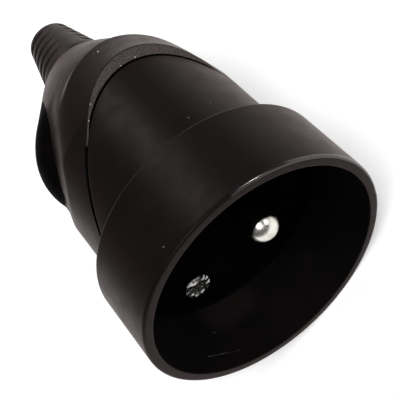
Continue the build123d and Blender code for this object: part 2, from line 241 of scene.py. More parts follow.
def rounded(corners):
    """Open profile of (r, y) points through corners (r, y, round), with support points beside each round."""
    points = []
    for index, (r, y, radius) in enumerate(corners):
        here = np.array((r, y), float)
        if radius == 0:
            points.append(here)
            continue
        back = np.array(corners[index - 1][:2]) - here
        ahead = np.array(corners[index + 1][:2]) - here
        back, ahead = back / np.linalg.norm(back), ahead / np.linalg.norm(ahead)
        half = math.acos(np.clip(back @ ahead, -1, 1)) / 2
        reach = radius / math.tan(half)
        points.append(here + back * reach * ROUND_SUPPORT)
        for t in np.linspace(0, 1, ROUND_STEPS + 1):
            points.append(here + back * reach * (1 - t) ** 2 + ahead * reach * t ** 2)
        points.append(here + ahead * reach * ROUND_SUPPORT)
    return points


def smooth_max(a, b, width):
    """Larger of two radii, with a fillet of about this width where they cross."""
    h = np.clip(0.5 + 0.5 * (a - b) / width, 0, 1)
    return b + (a - b) * h + width * h * (1 - h)


def smooth_rise(distance, width):
    """Smooth rise from 0 to 1 over this width, centred on distance zero."""
    t = np.clip(distance / width + 0.5, 0, 1)
    return t * t * (3 - 2 * t)


def curve_through(knots):
    """Polynomial that passes through all the knots (y, r), as a function of y."""
    fit = np.polyfit(*zip(*knots), len(knots) - 1)
    return lambda y: np.polyval(fit, y)


def grid_faces(rows, columns, closed):
    """Four-sided faces between each ring and the next, and from the last to the first where it is closed."""
    faces = []
    for row in range(rows if closed else rows - 1):
        here, there = row * columns, (row + 1) % rows * columns
        for column in range(columns):
            after = (column + 1) % columns
            faces.append((here + column, here + after, there + after, there + column))
    return faces


def finish_mesh(mesh):
    """Weld the poles, drop empty faces, turn normals outwards and shade smooth."""
    work = bmesh.new()
    work.from_mesh(mesh)
    bmesh.ops.remove_doubles(work, verts=work.verts, dist=WELD_GAP)
    bmesh.ops.dissolve_degenerate(work, edges=work.edges, dist=EMPTY_FACE)
    bmesh.ops.recalc_face_normals(work, faces=work.faces)
    for face in work.faces:
        face.smooth = True
    work.to_mesh(mesh)
    work.free()


class Skin:
    """Surface over rings of points round the plug's axis, where a ring also gives the material behind it."""

    def __init__(self, columns):
        self.angles = np.linspace(0, 2 * math.pi, columns, endpoint=False)
        self.rings = []
        self.zones = []

    def add(self, radius, y, zone=0):
        """Add a ring; radius, distance back and material zone may each vary round the ring."""
        shape = self.angles.shape
        radius, y = np.broadcast_to(radius, shape), np.broadcast_to(y, shape)
        self.rings.append(np.stack((radius * np.sin(self.angles), y, radius * np.cos(self.angles)), axis=1))
        self.zones.append(np.broadcast_to(zone, shape))

    def mesh(self, name, x=0.0, z=0.0, closed=False):
        """Mesh of the rings, moved to an axis through (x, z)."""
        points = np.asarray(self.rings) + (x, 0, z)
        count, columns = points.shape[:2]
        mesh = bpy.data.meshes.new(name)
        mesh.from_pydata((points.reshape(-1, 3) * MM).tolist(), [], grid_faces(count, columns, closed))
        zones = np.concatenate(self.zones)[:len(mesh.polygons)]
        mesh.polygons.foreach_set("material_index", zones.astype(np.int32))
        finish_mesh(mesh)
        return mesh


def lathe(name, profile, x, z, columns=LATHE_COLUMNS, closed=False, zone=0):
    """Body turned about an axis along Y through (x, z), all in one material zone."""
    skin = Skin(columns)
    for r, y in profile:
        skin.add(r, y, zone)
    return skin.mesh(name, x, z, closed)


def box_mesh(name, size, centre):
    """Plain box."""
    work = bmesh.new()
    bmesh.ops.create_cube(work, size=1.0)
    bmesh.ops.scale(work, vec=Vector(size) * MM, verts=work.verts)
    bmesh.ops.translate(work, vec=Vector(centre) * MM, verts=work.verts)
    mesh = bpy.data.meshes.new(name)
    work.to_mesh(mesh)
    work.free()
    return mesh


def cut(mesh, tools):
    """Mesh with the tool meshes cut out of it."""
    body = bpy.data.objects.new("body", mesh)
    scene.collection.objects.link(body)
    cutters = []
    for tool in tools:
        cutter = bpy.data.objects.new("cutter", tool)
        scene.collection.objects.link(cutter)
        modifier = body.modifiers.new("cut", "BOOLEAN")
        modifier.operation = "DIFFERENCE"
        modifier.object = cutter
        modifier.solver = "EXACT"
        cutters.append(cutter)
    bpy.context.view_layer.update()
    result = bpy.data.meshes.new_from_object(body.evaluated_get(bpy.context.evaluated_depsgraph_get()))
    for spare in [body] + cutters:
        bpy.data.objects.remove(spare)
    result.name = mesh.name + "_cut"
    return result


def joined(name, meshes):
    """One mesh from several, which keeps their material zones."""
    work = bmesh.new()
    for mesh in meshes:
        work.from_mesh(mesh)
    result = bpy.data.meshes.new(name)
    work.to_mesh(result)
    work.free()
    return result


def place(name, mesh, node, shaders, sharp_from=40):
    """Piece that stands in for a solid of the frame; edges sharper than sharp_from degrees stay crisp."""
    piece = bpy.data.objects.new(name, mesh)
    scene.collection.objects.link(piece)
    mesh.set_sharp_from_angle(angle=math.radians(sharp_from))
    mesh.transform(LIE)
    for index, shader in enumerate(shaders):
        if index < len(mesh.materials):
            mesh.materials[index] = shader.material
        else:
            mesh.materials.append(shader.material)
    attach(piece, "root")
    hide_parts(node)


class Shader:
    """Principled material with node helpers; lengths in its textures are millimetres."""

    SPECK_CORE = 0.4
    STREAK_CORE = 0.35

    def __init__(self, name):
        self.material = bpy.data.materials.new(name)
        self.material.use_nodes = True
        self.tree = self.material.node_tree
        self.surface = self.tree.nodes["Principled BSDF"]
        coordinates = self.node("TexCoord")
        scaled = self.node("VectorMath")
        scaled.operation = "SCALE"
        scaled.inputs["Scale"].default_value = 1 / MM
        self.link(coordinates.outputs["Object"], scaled.inputs[0])
        self.position = scaled.outputs[0]

    def node(self, kind):
        return self.tree.nodes.new("ShaderNode" + kind)

    def link(self, source, target):
        self.tree.links.new(source, target)

    def noise(self, scale, detail=3.0, rough=0.5, stretch=None):
        """Cloudy noise with about this many waves to the millimetre, closer along the stretched axes."""
        node = self.node("TexNoise")
        node.inputs["Scale"].default_value = scale
        node.inputs["Detail"].default_value = detail
        node.inputs["Roughness"].default_value = rough
        source = self.position
        if stretch is not None:
            mapping = self.node("Mapping")
            mapping.inputs["Scale"].default_value = stretch
            self.link(source, mapping.inputs["Vector"])
            source = mapping.outputs["Vector"]
        self.link(source, node.inputs["Vector"])
        return node.outputs["Fac"]

    def cells(self, scale):
        """Cells with about this many to the millimetre."""
        node = self.node("TexVoronoi")
        node.inputs["Scale"].default_value = scale
        self.link(self.position, node.inputs["Vector"])
        return node

    def remap(self, source, low, high, to_low=0.0, to_high=1.0):
        """Value carried from one range to another and kept within it."""
        node = self.node("MapRange")
        node.inputs["From Min"].default_value = low
        node.inputs["From Max"].default_value = high
        node.inputs["To Min"].default_value = to_low
        node.inputs["To Max"].default_value = to_high
        self.link(source, node.inputs["Value"])
        return node.outputs["Result"]

    def maths(self, operation, first, second):
        node = self.node("Math")
        node.operation = operation
        for socket, value in zip(node.inputs, (first, second)):
            if isinstance(value, (int, float)):
                socket.default_value = value
            else:
                self.link(value, socket)
        return node.outputs[0]

    def vector(self, operation, first, second):
        node = self.node("VectorMath")
        node.operation = operation
        for socket, value in zip(node.inputs, (first, second)):
            if isinstance(value, Vector):
                socket.default_value = value
            else:
                self.link(value, socket)
        return node

    def blend(self, factor, first, second):
        """Colour between two colours, each a tuple or a socket."""
        node = self.node("Mix")
        node.data_type = "RGBA"
        self.link(factor, node.inputs["Factor"])
        for socket, value in ((node.inputs[6], first), (node.inputs[7], second)):
            if isinstance(value, tuple):
                socket.default_value = value + (1.0,)
            else:
                self.link(value, socket)
        return node.outputs[2]

    def specks(self, scale, share, size):
        """Sparse round marks: this share of the cells holds a speck with this radius."""
        cell = self.cells(scale)
        colour = self.node("SeparateColor")
        self.link(cell.outputs["Color"], colour.inputs["Color"])
        chosen = self.maths("LESS_THAN", colour.outputs[0], share)
        spot = self.remap(cell.outputs["Distance"], size * scale, self.SPECK_CORE * size * scale)
        return self.maths("MULTIPLY", chosen, spot)

    def streak(self, start, end, width):
        """Mark that reaches this far to each side of a line between two points in the plug's own axes."""
        start, end = LIE @ Vector(start), LIE @ Vector(end)
        length, course = (end - start).length, (end - start).normalized()
        offset = self.vector("SUBTRACT", self.position, start).outputs["Vector"]
        along = self.vector("DOT_PRODUCT", offset, course).outputs["Value"]
        nearest = self.node("VectorMath")
        nearest.operation = "SCALE"
        nearest.inputs[0].default_value = course
        self.link(self.remap(along, 0.0, length, 0.0, length), nearest.inputs["Scale"])
        gap = self.vector("DISTANCE", offset, nearest.outputs["Vector"]).outputs["Value"]
        return self.remap(gap, width, self.STREAK_CORE * width)

    def bump(self, height, distance, strength, under=None):
        """Normal bent by a height, on top of an earlier normal where one is given."""
        node = self.node("Bump")
        node.inputs["Distance"].default_value = distance * MM
        node.inputs["Strength"].default_value = strength
        self.link(height, node.inputs["Height"])
        if under is not None:
            self.link(under, node.inputs["Normal"])
        return node.outputs["Normal"]

    def set(self, socket, value):
        """Give a socket of the surface a number, a colour or a link."""
        target = self.surface.inputs[socket]
        if isinstance(value, (int, float)):
            target.default_value = value
        elif isinstance(value, tuple):
            target.default_value = value + (1.0,)
        else:
            self.link(value, target)


# Plastics: clouds, scuffs, specks, patches of roughness, grain and a gentle wave of the moulded surface
CLOUD_RANGE = (0.35, 0.65)
SCUFF_SCALE = 0.5
SCUFF_STRETCH = (3.0, 0.5, 1.6)
SCUFF_RANGE = (0.70, 0.8)
SCUFF_WEIGHT = 0.3
SCUFF_LIFT = 2.0
SPECK_SCALE = 0.22
SPECK_R = 0.2
SPECK_TONE = (0.05, 0.046, 0.043)
PATCH_SCALE = 0.35
PATCH_RANGE = (0.3, 0.7)
PATCH_SMOOTHER = 0.05
PATCH_ROUGHER = 0.07
GRAIN_STRENGTH = 0.6
WAVE_SCALE = 0.12
WAVE_HEIGHT = 0.05
WAVE_STRENGTH = 0.5
SHEEN_ROUGHNESS = 0.4
SHEEN_TINT = (1.0, 0.60, 0.52)
WARM_TINT = (1.0, 0.80, 0.77)
CLEAR_TINT = (1.0, 0.96, 0.94)

# Metals: stains, patches of roughness, grain and pits
STAIN_SCALE = 0.8
STAIN_RANGE = (0.45, 0.75)
METAL_PATCH_SCALE = 2.5
METAL_ROUGHER = 0.1
METAL_GRAIN_STRENGTH = 0.5
PIT_SCALE = 0.9
PIT_STRENGTH = 1.0


def moulding(name, dark, light, roughness, gloss, sheen=0.0, grain=5.0, grain_height=0.012,
             dust=0.04, cloud=0.16, marks=(), tint=WARM_TINT):
    """Moulded plastic or rubber with a fine texture, clouding between two tones, dust and light scuffs."""
    shader = Shader(name)
    clouds = shader.remap(shader.noise(cloud, detail=4.0, rough=0.6), *CLOUD_RANGE)
    colour = shader.blend(clouds, dark, light)
    scuffs = shader.noise(SCUFF_SCALE, detail=5.0, rough=0.7, stretch=SCUFF_STRETCH)
    scuffs = shader.remap(scuffs, *SCUFF_RANGE, 0.0, SCUFF_WEIGHT)
    colour = shader.blend(scuffs, colour, tuple(SCUFF_LIFT * part for part in light))
    colour = shader.blend(shader.specks(SPECK_SCALE, dust, SPECK_R), colour, SPECK_TONE)
    # Marks: real dust, lint and scratches, and also painted glints and a painted patch of light
    for start, end, width, tone in marks:
        colour = shader.blend(shader.streak(start, end, width), colour, tone)
    shader.set("Base Color", colour)
    patches = shader.noise(PATCH_SCALE, detail=4.0, rough=0.6)
    patches = shader.remap(patches, *PATCH_RANGE, roughness - PATCH_SMOOTHER, roughness + PATCH_ROUGHER)
    shader.set("Roughness", patches)
    shader.set("Specular Tint", tint)
    shader.set("Specular IOR Level", gloss)
    shader.set("Sheen Weight", sheen)
    shader.set("Sheen Roughness", SHEEN_ROUGHNESS)
    shader.set("Sheen Tint", SHEEN_TINT)
    normal = shader.bump(shader.noise(grain, detail=2.0, rough=0.6), grain_height, GRAIN_STRENGTH)
    normal = shader.bump(shader.noise(WAVE_SCALE, detail=2.0), WAVE_HEIGHT, WAVE_STRENGTH, normal)
    shader.set("Normal", normal)
    return shader


def metal(name, colour, worn, roughness, grain=3.0, grain_height=0.02, pits=0.0):
    """Plated or plain metal with soft stains and fine grain; pits are dents by height in millimetres."""
    shader = Shader(name)
    stains = shader.remap(shader.noise(STAIN_SCALE, detail=4.0, rough=0.6), *STAIN_RANGE)
    shader.set("Base Color", shader.blend(stains, colour, worn))
    shader.set("Metallic", 1.0)
    patches = shader.noise(METAL_PATCH_SCALE, detail=3.0, rough=0.6)
    patches = shader.remap(patches, *PATCH_RANGE, roughness - PATCH_SMOOTHER, roughness + METAL_ROUGHER)
    shader.set("Roughness", patches)
    normal = shader.bump(shader.noise(grain, detail=3.0, rough=0.6), grain_height, METAL_GRAIN_STRENGTH)
    if pits:
        normal = shader.bump(shader.cells(PIT_SCALE).outputs["Distance"], pits, PIT_STRENGTH, normal)
    shader.set("Normal", normal)
    return shader


# Marks on the plastics, each from a start to an end, with its reach to each side and its tone
DUST_TONE = (0.10, 0.094, 0.088)
# Bright tone for lint, and for painted glints
LINT_AND_GLINT_TONE = (0.42, 0.40, 0.38)
SCRATCH_TONE = (0.045, 0.042, 0.039)
# Tone of a painted patch of light on the well's wall
WELL_PAINTED_LIGHT_TONE = (0.0082, 0.0074, 0.0069)
DUST = [((-2.5, 45.0, 16.2), (-3.7, 42.8, 18.4), 0.20, LINT_AND_GLINT_TONE),
        ((-3.3, 45.0, 16.0), (-4.5, 42.8, 18.2), 0.14, DUST_TONE),
        ((-15.7, 2.2, 14.9), (-15.6, 2.1, 15.0), 0.16, DUST_TONE),
        ((-0.8, 19.2, 18.6), (-0.7, 19.1, 18.6), 0.15, DUST_TONE),
        ((4.1, 20.7, 18.1), (4.2, 20.6, 18.1), 0.15, DUST_TONE),
        ((10.2, 30.6, 15.5), (10.3, 30.5, 15.5), 0.15, DUST_TONE)]
# Painted glints: bright dots on the slanted face that stand in for highlights
GLINTS = [((3.8, 36.2, 17.8), (3.8, 35.8, 18.2), 0.16, LINT_AND_GLINT_TONE),
          ((0.2, 37.2, 18.6), (0.2, 36.8, 19.0), 0.16, LINT_AND_GLINT_TONE),
          ((-2.6, 36.9, 18.3), (-2.6, 36.5, 18.7), 0.15, LINT_AND_GLINT_TONE),
          ((-10.1, 33.9, 16.0), (-10.1, 33.5, 16.4), 0.14, LINT_AND_GLINT_TONE),
          ((-11.5, 32.1, 14.5), (-11.5, 31.7, 14.9), 0.16, LINT_AND_GLINT_TONE)]
WELL_MARKS = [((-9.5, 3.4, -17.3), (-6.6, 3.2, -18.6), 0.16, SCRATCH_TONE),
              ((-6.6, 3.2, -18.6), (-3.8, 2.7, -19.4), 0.12, SCRATCH_TONE),
              ((-5.6, 7.7, -18.6), (-5.5, 7.6, -18.6), 0.2, SCRATCH_TONE),
              # Painted light: a broad lighter patch on the well's lower wall
              ((-2.6, 10.8, -19.2), (1.5, 11.6, -19.4), 4.6, WELL_PAINTED_LIGHT_TONE)]

# Black plastic: the satin shells, the speckled slanted face lightened as painted light, the polished rim, and
# three darker copies that are painted shade
SATIN_DARK = (0.0046, 0.0036, 0.0034)
SATIN_LIGHT = (0.0060, 0.0047, 0.0045)
plastic = moulding("black_plastic", SATIN_DARK, SATIN_LIGHT, roughness=0.40, gloss=0.080,
                   sheen=0.110, grain=2.6, grain_height=0.030, dust=0.06, marks=DUST)
# Slanted face: a real speckle, in a much lighter tone that is painted light
spark = moulding("black_plastic_speckle_painted_light", (0.008, 0.0066, 0.0061), (0.070, 0.0585, 0.0545),
                 roughness=0.46, gloss=0.28, sheen=0.02, grain=4.5, grain_height=0.14,
                 dust=0.10, cloud=4.5, marks=GLINTS)
polished = moulding("black_plastic_edge", SATIN_DARK, SATIN_LIGHT, roughness=0.19, gloss=0.75,
                    grain_height=0.006, tint=CLEAR_TINT)
# Painted shade: near-black plastic for the gap at the seam, the slanted face away from the crest, the well's
# floor and the holes in it
shade_black = moulding("black_plastic_shade", (0.0016, 0.0014, 0.0013), (0.0024, 0.0020, 0.0019),
                roughness=0.60, gloss=0.0)
# Painted shade: a darker copy of the plastic for the well's wall
wall = moulding("black_plastic_well_shade", (0.0031, 0.0027, 0.0026), (0.0042, 0.0036, 0.0034),
                roughness=0.55, gloss=0.02, marks=WELL_MARKS)
# Painted shade: a darker copy of the plastic for the grip cheeks
grip = moulding("black_plastic_cheek_shade", (0.0024, 0.0020, 0.0019), (0.0034, 0.0028, 0.0027),
                roughness=0.48, gloss=0.002, sheen=0.002)

# Rubber of the boot, grey plastic inside, and the metals
rubber = moulding("boot_rubber", (0.0140, 0.0112, 0.0106), (0.0175, 0.0141, 0.0135),
                  roughness=0.46, gloss=0.20, sheen=0.06, grain=2.6, grain_height=0.030, dust=0.05)
nickel = metal("nickel", (0.80, 0.77, 0.72), (0.62, 0.58, 0.53), roughness=0.27)
# Painted shade: darkened nickel for the earth pin's shank inside the well
nickel_shade = metal("nickel_painted_shade", (0.16, 0.15, 0.14), (0.10, 0.09, 0.08), roughness=0.16,
                grain_height=0.004)
steel = metal("plated_steel", (0.50, 0.49, 0.47), (0.28, 0.27, 0.255), roughness=0.26, grain=1.1,
              grain_height=0.006, pits=0.5)
brass = metal("contact_brass", (0.36, 0.26, 0.12), (0.24, 0.16, 0.07), roughness=0.34)
grey = moulding("grey_plastic", (0.50, 0.50, 0.48), (0.57, 0.57, 0.55), roughness=0.5, gloss=0.4,
                sheen=0.02, grain=4.0, dust=0.02)

# Material zones of each piece, in the order of its materials
HOUSING_SHADERS = (plastic, shade_black, polished, wall)
HOUSING_SATIN, HOUSING_PAINTED_SHADE, HOUSING_POLISHED, HOUSING_WELL_SHADE = range(4)
COVER_SHADERS = (plastic, spark, shade_black, grip)
COVER_SATIN, COVER_SPECKLE_PAINTED_LIGHT, COVER_PAINTED_SHADE, COVER_CHEEK_SHADE = range(4)
PIN_SHADERS = (nickel, nickel_shade)
PIN_NICKEL, PIN_SHADE_NICKEL = range(2)


def collar_zone(r, y):
    """Material zone of a point on the profile of the well and collar."""
    # The well's floor band and wall take darker plastic as painted shade
    if r < WELL_FLOOR_R and abs(y - WELL_DEPTH) < FLOOR_BAND:
        return HOUSING_PAINTED_SHADE
    if r < WELL_MOUTH_R and y < WELL_DEPTH:
        return HOUSING_WELL_SHADE
    if r > COLLAR_R - RIM_BAND and y < RIM_BAND:
        shiny = (FROM_PIN > RIM_POLISH_FROM) & (FROM_PIN < RIM_POLISH_TO)
        return np.where(shiny, HOUSING_POLISHED, HOUSING_SATIN)
    return HOUSING_SATIN


def housing_mesh():
    """Collar with the well, and two tongues that end along the seam."""
    skin = Skin(SHELL_COLUMNS)
    profile = rounded([(0.0, WELL_DEPTH, 0),
                       (WELL_FLOOR_R, WELL_DEPTH, WELL_CORNER_ROUND),
                       (WELL_MOUTH_R, 0.0, MOUTH_ROUND),
                       (COLLAR_R, 0.0, RIM_ROUND),
                       (COLLAR_R, COLLAR_LEN, COLLAR_BACK_ROUND),
                       (BODY_R, COLLAR_LEN, 0)])
    for r, y in [(r, WELL_DEPTH) for r in WELL_FLOOR_RINGS] + profile[1:]:
        skin.add(r, y, collar_zone(r, y))
    edge = np.maximum(COLLAR_LEN, SEAM_TIP + BODY_R * UPRIGHT / SEAM_RISE)
    root = np.maximum(COLLAR_LEN, SEAM_TIP + BORE_R * UPRIGHT / SEAM_RISE)
    inner = np.where(edge > COLLAR_LEN, BORE_R, BORE_R - FIT)
    reach = edge - COLLAR_LEN
    for share in TONGUE_RINGS:
        skin.add(BODY_R, COLLAR_LEN + reach * share)
    for t in EDGE_STEPS:
        back = np.minimum(TONGUE_ROUND, reach * TONGUE_ROUND_SHARE) * (1 - t) ** 2
        inward = TONGUE_FACE_SHARE * t ** 2
        skin.add(BODY_R - inward * (BODY_R - inner), edge - back - inward * (edge - root))
    skin.add(inner + TONGUE_LEDGE, root)
    skin.add(inner, root)
    skin.add(inner, FLOOR_BACK)
    for r in FLOOR_BACK_RINGS:
        skin.add(r, FLOOR_BACK)
    return skin.mesh("front_shell")


def floor_cutters():
    """Tools for the two pole holes, the earth pin's hole and the screw's seat in the well's floor."""
    pole = [(0, POLE_LEAD_Y), (POLE_HOLE_R + POLE_LEAD, POLE_LEAD_Y), (POLE_HOLE_R, POLE_LEAD_Y + POLE_LEAD),
            (POLE_HOLE_R, CUTTER_BACK), (0, CUTTER_BACK)]
    pin = [(0, CUTTER_FRONT), (PIN_HOLE_R, CUTTER_FRONT), (PIN_HOLE_R, CUTTER_BACK), (0, CUTTER_BACK)]
    screw = [(0, CUTTER_FRONT), (SCREW_SEAT_R, CUTTER_FRONT), (SCREW_SEAT_R, SCREW_SEAT_Y),
             (SCREW_HOLE_R, SCREW_SEAT_Y), (SCREW_HOLE_R, CUTTER_BACK), (0, CUTTER_BACK)]
    spots = [(pole, POLE_X, 0), (pole, -POLE_X, 0), (pin, 0, EARTH_Z), (screw, SCREW_X, SCREW_Z)]
    # The holes' cut faces take the near-black plastic as painted shade
    return [lathe("floor_cutter", profile, x, z, zone=HOUSING_PAINTED_SHADE) for profile, x, z in spots]


def inner_tubes():
    """Tubes behind the well's floor for the two contacts, the earth pin and the screw."""
    front = FLOOR_BACK - TUBE_ROOT
    tubes = []
    for x, z, inner, outer, end in ((POLE_X, 0, POLE_TUBE_R, POLE_TUBE_OUTER_R, TUBE_END),
                                    (-POLE_X, 0, POLE_TUBE_R, POLE_TUBE_OUTER_R, TUBE_END),
                                    (0, EARTH_Z, PIN_HOLE_R, PIN_TUBE_OUTER_R, TUBE_END),
                                    (SCREW_X, SCREW_Z, SCREW_HOLE_R, BOSS_R, SCREW_TUBE_END)):
        profile = [(inner, front), (outer, front), (outer, end), (inner, end)]
        tubes.append(lathe("tube", profile, x, z, TUBE_COLUMNS, closed=True))
    return tubes


def front_shell():
    """Front housing; its materials go in before the cut, so that the cut keeps the material zones."""
    housing = housing_mesh()
    for shader in HOUSING_SHADERS:
        housing.materials.append(shader.material)
    housing = cut(housing, floor_cutters())
    mesh = joined("front_shell", [housing] + inner_tubes())
    place("front_shell", mesh, "front_housing", HOUSING_SHADERS)


dome_line = curve_through(DOME_KNOTS)
cheek_line = curve_through(CHEEK_KNOTS)


def band_radius(y):
    """Radius of the band round the axis, with the swell of the finger stops above and below."""
    cone = np.interp(y, [BAND_BEND_Y, RIDGE_Y], [BODY_R, RIDGE_R])
    axis_y = CREST_Y - CREST_BULGE * math.sin(CREST_SLOPE)
    axis_z = CREST_Z - CREST_BULGE * math.cos(CREST_SLOPE)
    height = UPRIGHT * math.cos(CREST_SLOPE)
    shift = (y - axis_y) * math.sin(CREST_SLOPE) - axis_z * math.cos(CREST_SLOPE)
    square = SIDEWAYS ** 2 + height ** 2
    inside = (height * shift) ** 2 - square * (shift ** 2 - CREST_BULGE ** 2)
    swell = np.where(inside > 0, (-height * shift + np.sqrt(np.maximum(inside, 0))) / square, 0)
    return smooth_max(swell, cone, CREST_FILLET)


def band_end(radius):
    """Distance back at which the band ends, seen from the side a wedge with a rounded tip."""
    z = radius * UPRIGHT
    tangent = BAND_ROUND / math.sqrt(2)
    centre = BAND_START + BAND_ROUND * math.sqrt(2)
    tip = centre - np.sqrt(np.maximum(BAND_ROUND ** 2 - z ** 2, 0))
    return np.where(z < tangent, tip, BAND_START + z)


def outer_radius(y):
    """Band, and behind its ridge the dome, before the cheeks are set in; the ridge softens down each side."""
    band = band_radius(y)
    behind = y - band_end(band)
    crisp = 1 - (1 - np.clip(behind / RIDGE_FALL, 0, 1)) ** 2
    soft = smooth_rise(behind - RIDGE_RUNOUT_SHIFT, RIDGE_RUNOUT)
    middle = 0.5 * (RIDGE_CRISP_Z + RIDGE_SOFT_Z)
    share = soft + (crisp - soft) * smooth_rise(band * UPRIGHT - middle, RIDGE_CRISP_Z - RIDGE_SOFT_Z)
    return band + (dome_line(y) - band) * share


def cheek_radius(y):
    """Grip cheek: a tight roll along each side that swells to the belly and runs out to the tail."""
    tail = np.interp(y, [SHOULDER_Y, TAIL_Y], [SHOULDER_R, TAIL_R])
    reach = np.where(y < SHOULDER_Y, cheek_line(y), tail)
    roll = np.interp(y, ROLL_Y, ROLL_R)
    side = reach - roll
    return side * SIDEWAYS + np.sqrt(np.maximum(roll ** 2 - (side * UPRIGHT) ** 2, 0))


def cheek_share(y, outer):
    """How far each point of the outside lies within the egg-shaped outline of a cheek, from 0 to 1."""
    along = np.abs(y - CHEEK_MID_Y) / np.where(y < CHEEK_MID_Y, CHEEK_AHEAD, CHEEK_BEHIND)
    across = outer * UPRIGHT / CHEEK_HALF
    inside = CHEEK_HALF * (1 - (along ** CHEEK_POWER + across ** CHEEK_POWER) ** (1 / CHEEK_POWER))
    return np.clip((inside - LIP_START) / LIP_WIDTH, 0, 1) ** 2


def front_edge_line():
    """Distance back of the cover's front edge, where the slanted face meets the band."""
    edge = np.full(ANGLES.shape, CREST_Y)
    for _ in range(EDGE_PASSES):
        seam = COVER_TIP + band_radius(edge) * UPRIGHT / COVER_RISE
        edge = 0.5 * edge + 0.5 * np.maximum(COLLAR_LEN + FIT, seam)
    return edge


def add_slanted_face(skin, edge, root):
    """Face along the seam: a gap beside the tongue in painted shade, then the speckled face and its rounded
    edge, lightened as painted light near the crest and painted shade further round.
    """
    outer = band_radius(edge)
    gap = np.minimum((BODY_R + GAP_SHADE - BORE_R) / (outer - BORE_R), FACE_END)
    # The gap beside the seam is painted shade
    for part in GAP_PARTS:
        t = gap * part
        skin.add(BORE_R + (outer - BORE_R) * t, root + (edge - root) * t, COVER_PAINTED_SHADE)
    for part in FACE_PARTS:
        t = gap + (FACE_END - gap) * part / FACE_PARTS[-1]
        spark_end = SPARK_ROOT + (SPARK_EDGE - SPARK_ROOT) * part
        # Nearer the crest than spark_end the face is lightened as painted light, further round it is painted
        # shade
        zone = np.where(FROM_CREST < spark_end, COVER_SPECKLE_PAINTED_LIGHT, COVER_PAINTED_SHADE)
        skin.add(BORE_R + (outer - BORE_R) * t, root + (edge - root) * t, zone)
    for t in EDGE_STEPS:
        inward = COVER_FACE_SHARE * (1 - t) ** 2
        y = edge + COVER_EDGE_ROUND * t ** 2 - inward * (edge - root)
        radius = outer - inward * (outer - BORE_R) if t < 1 else band_radius(y)
        # The rounded edge likewise: painted shade beyond SPARK_EDGE, lightened as painted light on its front
        # half
        zone = np.where(FROM_CREST > SPARK_EDGE, COVER_PAINTED_SHADE, COVER_SPECKLE_PAINTED_LIGHT if t < 0.5 else COVER_SATIN)
        skin.add(radius, y, zone)


def add_back(skin, edge):
    """Band, dome and cheeks from the front edge to the tail, the cheeks set in behind a rounded lip and
    painted in shade within it.
    """
    start = edge + COVER_EDGE_ROUND
    for share in BACK_RINGS:
        y = start + (TAIL_Y - TAIL_SLOPE[1] - start) * share
        outer = outer_radius(y)
        cheek = cheek_share(y, outer)
        # Inside their lip the cheeks take the darker plastic as painted shade
        zone = np.where(cheek > CHEEK_SHADE_SHARE, COVER_CHEEK_SHADE, COVER_SATIN)
        skin.add(outer + (cheek_radius(y) - outer) * cheek, y, zone)


def add_inside(skin):
    """Tail with its neck hole, the seat of the boot's flange and the cavity."""
    tail = rounded([(TAIL_R + TAIL_SLOPE[0], TAIL_Y - TAIL_SLOPE[1], 0),
                    (TAIL_R, TAIL_Y, TAIL_ROUND),
                    (NECK_HOLE_R, TAIL_Y, NECK_HOLE_ROUND),
                    (NECK_HOLE_R, FLANGE_BACK, 0)])
    seat = [(FLANGE_SEAT_R, FLANGE_BACK), (FLANGE_SEAT_R, FLANGE_FRONT)]
    for r, y in tail[1:] + seat + CAVITY:
        skin.add(r, y)


def rear_shell():
    """Rear cover: slanted front faces, band with two finger stops, dome with fuller cheeks."""
    edge = front_edge_line()
    root = np.maximum(COLLAR_LEN + FIT, COVER_TIP + BORE_R * UPRIGHT / COVER_RISE)
    skin = Skin(SHELL_COLUMNS)
    add_slanted_face(skin, edge, root)
    add_back(skin, edge)
    add_inside(skin)
    cover = skin.mesh("rear_shell", closed=True)
    profile = [(BOSS_HOLE_R, BOSS_FRONT), (BOSS_R, BOSS_FRONT), (BOSS_R, BOSS_END), (0, BOSS_END),
               (0, BOSS_FLOOR), (BOSS_HOLE_R, BOSS_FLOOR)]
    boss = lathe("insert_boss", profile, SCREW_X, SCREW_Z, TUBE_COLUMNS, closed=True)
    mesh = joined("rear_shell", [cover, boss])
    place("rear_shell", mesh, "rear_cover", COVER_SHADERS, sharp_from=60)


def boot_radius(y):
    """Radius of the boot's plain taper."""
    return np.interp(y, [TAIL_Y, BOOT_END], [BOOT_BASE_R, BOOT_END_R])


def add_groove(skin, middle):
    """Groove across both sides of the boot, which runs out towards the plain spines above and below."""
    from_spine = np.degrees(np.arcsin(np.abs(np.sin(skin.angles))))
    ribbed = np.clip((from_spine - GROOVE_FROM) / (GROOVE_FULL - GROOVE_FROM), 0, 1)
    front, back = middle - GROOVE_W / 2, middle + GROOVE_W / 2
    course = [(front + inward, depth) for inward, depth in GROOVE_WALL]
    course += [(back - inward, depth) for inward, depth in reversed(GROOVE_WALL)]
    for y, depth in course:
        skin.add(boot_radius(y) - GROOVE_D * depth * ribbed, y)


